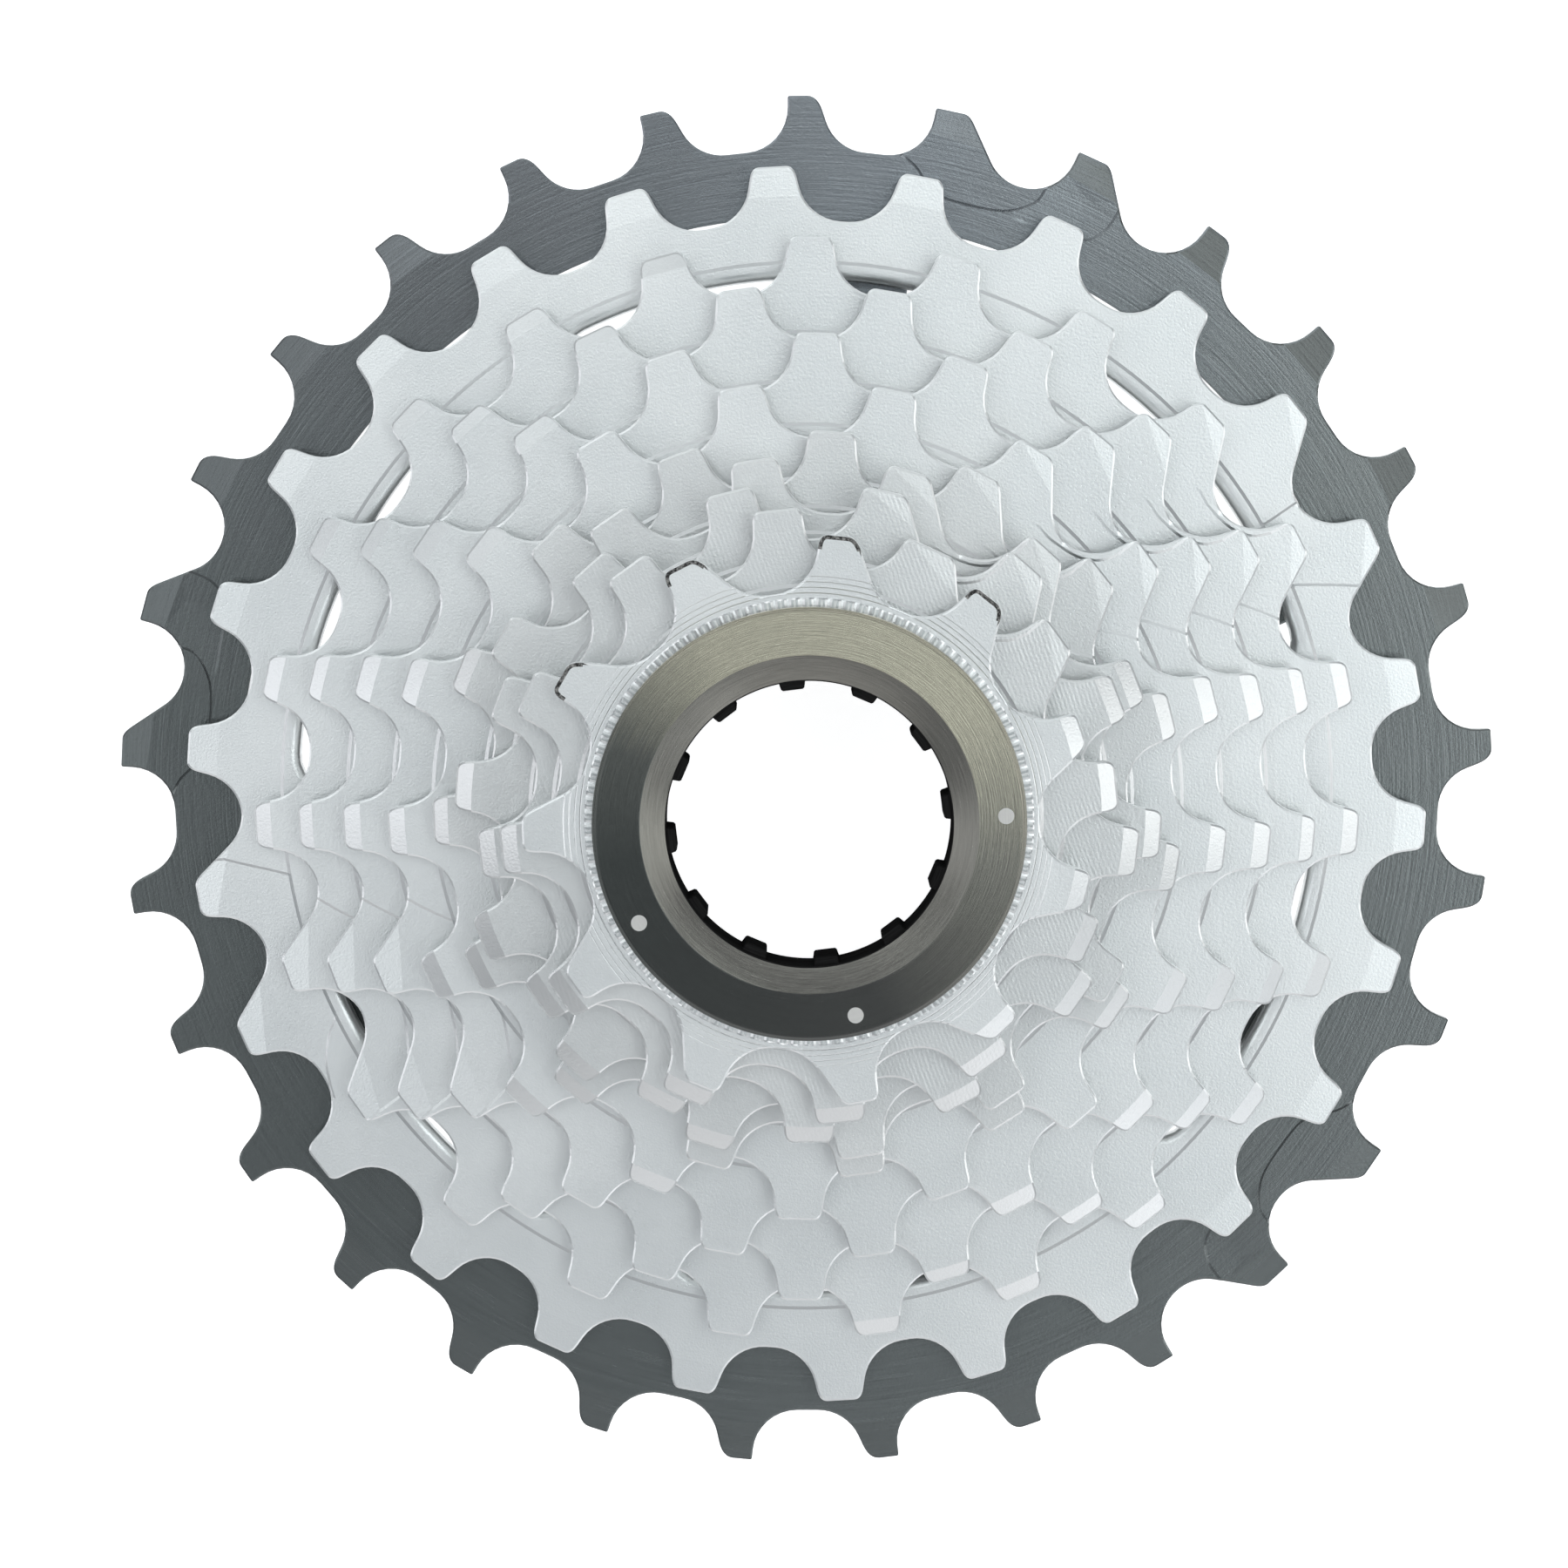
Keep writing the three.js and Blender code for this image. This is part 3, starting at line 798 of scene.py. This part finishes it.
def lockring_material():
    """Black anodised ring: brushed cone, flange with a streaked sheen painted into its colour (painted
    highlight at the top, painted shade at the lower left), and three etched dots on the flange."""
    n = Nodes("black_anodised")
    coords, radius, turned = object_space(n)
    marks = n.noise(turned, 9000, 3, 0.7)
    split = n.add("ShaderNodeSeparateXYZ")
    n.join(coords, split.inputs[0])
    x, y, _ = split.outputs
    angle = n.math("DIVIDE", n.math("ARCTAN2", y, x), 2 * math.pi)
    around = n.math("FRACT", n.math("ADD", angle, n.math("MULTIPLY", marks, 0.06)))
    # painted sheen: the flange's colour runs round from a beige painted highlight at the top to painted shade
    # at the lower left and bottom
    low, high = (0.053, 0.059, 0.057), (0.37, 0.358, 0.285)
    painted_sheen = n.ramp(around, (0.0, (0.17, 0.17, 0.15)), (0.13, high), (0.36, high), (0.47, (0.09, 0.096, 0.09)),
                   (0.56, low), (0.84, (0.062, 0.064, 0.062)), (1.0, (0.17, 0.17, 0.15)))
    cone = n.ramp(marks, (0.3, (0.145, 0.144, 0.13)), (0.7, (0.2, 0.198, 0.18)))
    etched = n.ramp(marks, (0.2, (0.5, 0.5, 0.49)), (0.8, (0.62, 0.62, 0.6)))
    beyond_cone = n.math("GREATER_THAN", radius, (MOUTH_R + 0.02) * MM)
    dot = None
    for degrees in DOT_ANGLES:
        cx, cy = polar(DOT_RADIUS * MM, math.radians(degrees))
        off = n.math("SQRT", n.math("ADD", n.math("POWER", n.math("SUBTRACT", x, cx), 2.0),
                                    n.math("POWER", n.math("SUBTRACT", y, cy), 2.0)))
        mask = n.math("LESS_THAN", off, DOT_SIZE / 2 * MM)
        dot = mask if dot is None else n.math("MAXIMUM", dot, mask)
    colour = n.mix(dot, n.mix(beyond_cone, cone, painted_sheen), etched)
    n.join(colour, n.shader.inputs["Base Color"])
    rough = n.math("ADD", n.math("MULTIPLY", marks, 0.16), 0.16)
    n.join(n.math("ADD", rough, n.math("MULTIPLY", dot, 0.35)), n.shader.inputs["Roughness"])
    n.bumps((marks, 0.3, 0.00004))
    n.shader.inputs["Metallic"].default_value = 0.9
    n.shader.inputs["Anisotropic"].default_value = 0.5
    tangent = n.add("ShaderNodeTangent", direction_type="RADIAL", axis="Z")
    n.join(tangent.outputs[0], n.shader.inputs["Tangent"])
    return n.material


def bore_material():
    """The lockring's bore and lugs: dull black, without the flange's painted sheen."""
    n = Nodes("black_bore")
    _, _, turned = object_space(n)
    marks = n.noise(turned, 9000, 3, 0.7)
    black = n.ramp(marks, (0.3, (0.008, 0.008, 0.008)), (0.7, (0.02, 0.02, 0.02)))
    n.join(black, n.shader.inputs["Base Color"])
    n.join(n.math("ADD", n.math("MULTIPLY", marks, 0.2), 0.4), n.shader.inputs["Roughness"])
    n.bumps((marks, 0.3, 0.00004))
    n.shader.inputs["Specular IOR Level"].default_value = 0.0
    return n.material


def floor_material():
    """A glowing white table."""
    n = Nodes("light_table")
    coords = n.add("ShaderNodeTexCoord").outputs["Object"]
    haze = n.noise(coords, 6, 2)
    n.join(n.ramp(haze, (0.3, (0.9, 0.9, 0.9)), (0.7, (0.93, 0.93, 0.93))), n.shader.inputs["Base Color"])
    n.shader.inputs["Roughness"].default_value = 0.6
    n.shader.inputs["Emission Color"].default_value = (1, 1, 1, 1)
    n.shader.inputs["Emission Strength"].default_value = 0.85
    return n.material


# ---- lockring ----

def revolved(profile, steps):
    """Rings of vertices from (radius, height) pairs, and the quads between them; closed on itself."""
    a = np.arange(steps) * 2 * math.pi / steps
    rings = [np.stack([r * np.cos(a), r * np.sin(a), np.full(steps, z)], 1) for r, z in profile]
    faces = []
    for j in range(len(profile)):
        k = (j + 1) % len(profile)
        for i in range(steps):
            m = (i + 1) % steps
            faces.append((j * steps + i, j * steps + m, k * steps + m, k * steps + i))
    return np.concatenate(rings), faces


def cut_thread(vertices, heights, first, steps, foot, under):
    """Pull the tube's rings in to a helical thread of 1 mm pitch that fades out at both ends."""
    angle = np.arange(steps) * 2 * math.pi / steps
    for index, z in enumerate(heights, first):
        ring = slice(index * steps, (index + 1) * steps)
        phase = (z - foot - angle / (2 * math.pi)) % 1.0
        groove = np.clip(1.25 * np.minimum(phase, 1 - phase) * 2 - 0.15, 0, 1)
        fade = min(1, (z - foot) / 0.8, (under - z) / 1.2)
        radius = THREAD_R - 0.06 - 0.55 * (1 - groove) * max(fade, 0)
        vertices[ring, 0] = radius * np.cos(angle)
        vertices[ring, 1] = radius * np.sin(angle)


def make_lockring(material, bore):
    """The lockring, turned from one profile: bore, tube with its thread, flange and cone."""
    low, high = (corner.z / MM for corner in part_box("lockring"))
    under = high - FLANGE_THICK
    steps = SERRATIONS * len(GRIP_WAVE)
    profile = [(BORE_R, low + 0.25), (BORE_R + 0.25, low), (THREAD_R - 0.45, low)]
    before_thread = len(profile)
    threads = np.arange(low + 0.1, under - 0.55, THREAD_STEP)
    profile += [(THREAD_R, z) for z in threads]
    profile += [(THREAD_R - 0.6, under - 0.5), (THREAD_R - 0.6, under - 0.02)]
    profile += [(13.4, under), (14.2, under + 0.12), (17.2, under + 0.12), (17.45, under + 0.14)]
    profile += [(FLANGE_R, under + 0.3), (FLANGE_R, high - 0.52), (FLANGE_R - 0.04, high - 0.42),
                (FLANGE_R - 0.3, high - FLANGE_FALL - 0.03), (FLANGE_R - 0.38, high - FLANGE_FALL)]
    profile += [(MOUTH_R + 0.08, high), (MOUTH_R, high - 0.02),
                (BORE_R + 0.1, high - 0.86), (BORE_R, high - 0.95)]
    vertices, faces = revolved(profile, steps)
    cut_thread(vertices, threads, before_thread, steps, low, under)
    ridge = np.tile(GRIP_WAVE, SERRATIONS)
    for j, (r, z) in enumerate(profile):
        if 14 < r < 17.5 and z < under + 0.2:
            vertices[j * steps:(j + 1) * steps, 2] -= ridge
    piece = mesh_object("lockring_turned", vertices, [f[::-1] for f in faces], material)
    piece.data.materials.append(bore)
    wall = (len(profile) - 2) * steps    # the profile's last two runs are the bore
    for polygon in piece.data.polygons[wall:]:
        polygon.material_index = 1
    lugs = make_lugs(low, high, bore)
    lugs.parent = piece
    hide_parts("lockring")
    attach(piece, "lockring")


def make_lugs(low, high, material):
    """The twelve tool lugs inside the lockring's bore."""
    vertices, faces = [], []
    foot, top = low + 0.3, high - 1.35
    half, root, crest = LUG_WIDTH / 2, BORE_R + 0.15, LUG_R
    section = [(root, -half - 0.18), (crest + 0.12, -half), (crest, -half + 0.14),
               (crest, half - 0.14), (crest + 0.12, half), (root, half + 0.18)]
    for i in range(LUG_COUNT):
        base = len(vertices)
        angle = math.radians(LUG_PHASE + 360 / LUG_COUNT * i)
        levels = ((foot, 0.15), (foot + 0.15, 0), (top - 0.25, 0), (top, 0.25))
        for z, pull in levels:
            for r, across in section:
                p = rotated([[r + pull * (r < root), across * (1 - 0.12 * pull)]], angle)[0]
                vertices.append((p[0], p[1], z))
        n = len(section)
        for j in range(len(levels) - 1):
            for k in range(n):
                m = (k + 1) % n
                row, above = base + j * n, base + (j + 1) * n
                faces.append((row + k, above + k, above + m, row + m))
        faces.append(tuple(base + k for k in range(n)))
        faces.append(tuple(base + (len(levels) - 1) * n + k for k in reversed(range(n))))
    return mesh_object("lockring_lugs", np.array(vertices), faces, material)


def make_serrations(material, parent):
    """The ring of radial serrations on the end sprocket that the lockring grips. It is part of
    that sprocket and rides with it."""
    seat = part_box("sprocket_11t")[0].z / MM + PLATE
    steps = SERRATIONS * len(SERRATION_WAVE)
    profile = [(SPLINE_GROOVE_R + 0.1, seat - 0.3), (SPLINE_GROOVE_R + 0.1, seat + 0.02),
               (SPLINE_GROOVE_R + 0.3, seat + 0.05), (SERRATED_R - 0.12, seat + 0.05),
               (SERRATED_R, seat + 0.02), (SERRATED_R, seat - 0.3)]
    vertices, faces = revolved(profile, steps)
    wave = np.tile(SERRATION_WAVE, SERRATIONS)
    for j in (2, 3):
        vertices[j * steps:(j + 1) * steps, 2] += wave
    vertices[4 * steps:5 * steps, 2] += 0.6 * wave
    faces = [f[::-1] for f in faces]
    piece = mesh_object("sprocket_11t_serrations", vertices, faces, material)
    piece.parent = parent


# ---- staging ----

def area_light(name, location, target, size, power, colour):
    data = bpy.data.lights.new(name, "AREA")
    data.shape = "RECTANGLE"
    data.size, data.size_y = size
    data.energy = power
    data.color = colour
    light = bpy.data.objects.new(name, data)
    light.location = location
    light.rotation_euler = (Vector(target) - Vector(location)).to_track_quat("-Z", "Y").to_euler()
    bpy.context.scene.collection.objects.link(light)


def make_floor():
    mesh = bpy.data.meshes.new("floor")
    half = 3.0
    corners = [(-half, -half, 0), (half, -half, 0), (half, half, 0), (-half, half, 0)]
    mesh.from_pydata(corners, [], [(0, 1, 2, 3)])
    mesh.materials.append(floor_material())
    floor = bpy.data.objects.new("floor", mesh)
    floor.location.z = -0.0002
    bpy.context.scene.collection.objects.link(floor)


def make_lights():
    # four panels overhead, brightest at the upper right and darkest at the lower left
    for name, x, y, power, colour in (
            ("overhead_ur", 0.42, 0.14, 1.95, (0.95, 1.0, 0.99)),
            ("overhead_ul", -0.42, 0.14, 1.25, (0.95, 0.99, 1.0)),
            ("overhead_lr", 0.42, -0.34, 0.9, (0.94, 0.98, 1.0)),
            ("overhead_ll", -0.42, -0.34, 0.28, (0.96, 0.98, 1.0))):
        area_light(name, (x, y, 1.3), (x / 2, y / 2, 0), (0.84, 0.48), power, colour)
    # a small panel for the top, strips for the tips' bevels, and cards for the plates' edges
    area_light("overhead_top", (0.0, 0.3, 1.28), (0, 0.15, 0), (0.7, 0.3), 0.6, (0.96, 1.0, 1.0))
    area_light("left_strip", (-1.1, 0.0, 0.85), (0, 0, 0.02), (0.5, 1.1), 2.0, (0.98, 0.97, 1.0))
    area_light("right_strip", (1.1, 0.0, 0.85), (0, 0, 0.02), (0.5, 1.1), 2.6, (1.0, 1.0, 0.99))
    area_light("corner_far_left", (-0.85, 0.85, 1.0), (0, 0, 0.02), (0.7, 0.7), 1.2, (0.97, 1.0, 1.0))
    area_light("corner_near_right", (0.85, -0.85, 1.0), (0, 0, 0.02), (0.7, 0.7), 1.3, (0.97, 0.98, 1.0))
    area_light("far_card", (0.0, 1.2, 0.95), (0, 0, 0.02), (2.0, 0.8), 3.6, (0.96, 1.0, 1.0))
    area_light("near_card", (0.0, -1.2, 0.95), (0, 0, 0.02), (2.0, 0.8), 3.4, (1.0, 0.97, 0.97))
    world = bpy.data.worlds.new("studio")
    world.use_nodes = True
    world.node_tree.nodes["Background"].inputs["Color"].default_value = (0.93, 0.96, 1.0, 1)
    world.node_tree.nodes["Background"].inputs["Strength"].default_value = 0.42
    bpy.context.scene.world = world


def make_camera():
    """A long lens almost square to the cassette, standing a little towards +Y."""
    axis = Vector(CAMERA_AXIS).normalized()
    right = Vector((1, 0, 0))
    right = (right - axis * right.dot(axis)).normalized()
    up = axis.cross(right)
    # the rows of the camera's rotation are the world's axes as the camera sees them
    to_world = Matrix((right, up, axis))
    centre = Vector((*CAMERA_SHIFT, -CAMERA_DISTANCE))
    data = bpy.data.cameras.new("camera")
    data.lens = CAMERA_LENS
    data.sensor_width = 36
    camera = bpy.data.objects.new("camera", data)
    face = Vector((0, 0, PLATE * MM))
    camera.matrix_world = Matrix.Translation(face - to_world @ centre) @ to_world.to_4x4()
    bpy.context.scene.collection.objects.link(camera)
    bpy.context.scene.camera = camera


steel, dark = steel_material(), dark_material()
# the 12- to 15-tooth sprockets' steel is painted darker: painted shade for the shadow deeper in the stack
shaded_tones = {"low": (0.61, 0.63, 0.632), "high": (0.665, 0.68, 0.68)}
shaded_small_steel = steel_material("plated_steel_small_painted_shade", **shaded_tones)
milled = steel_material("milled_steel_painted_shade", **shaded_tones, milled=True)
coats = {29: dark, 15: shaded_small_steel, 14: shaded_small_steel, 13: milled, 12: milled}
alloy = spacer_material()
made = {}
for row in SPROCKETS:
    made[row["teeth"]] = make_sprocket(row, coats.get(row["teeth"], steel))
paint_tip_shade(made[29], dark_material(on_tips=True))
for big, small in zip(SPROCKETS, SPROCKETS[1:]):
    make_spacer(big["teeth"], small["teeth"], alloy)
make_serrations(steel, made[11])
make_lockring(lockring_material(), bore_material())
make_floor()
make_lights()
make_camera()

bpy.context.scene.view_settings.view_transform = "Standard"
bpy.context.scene.view_settings.look = "None"
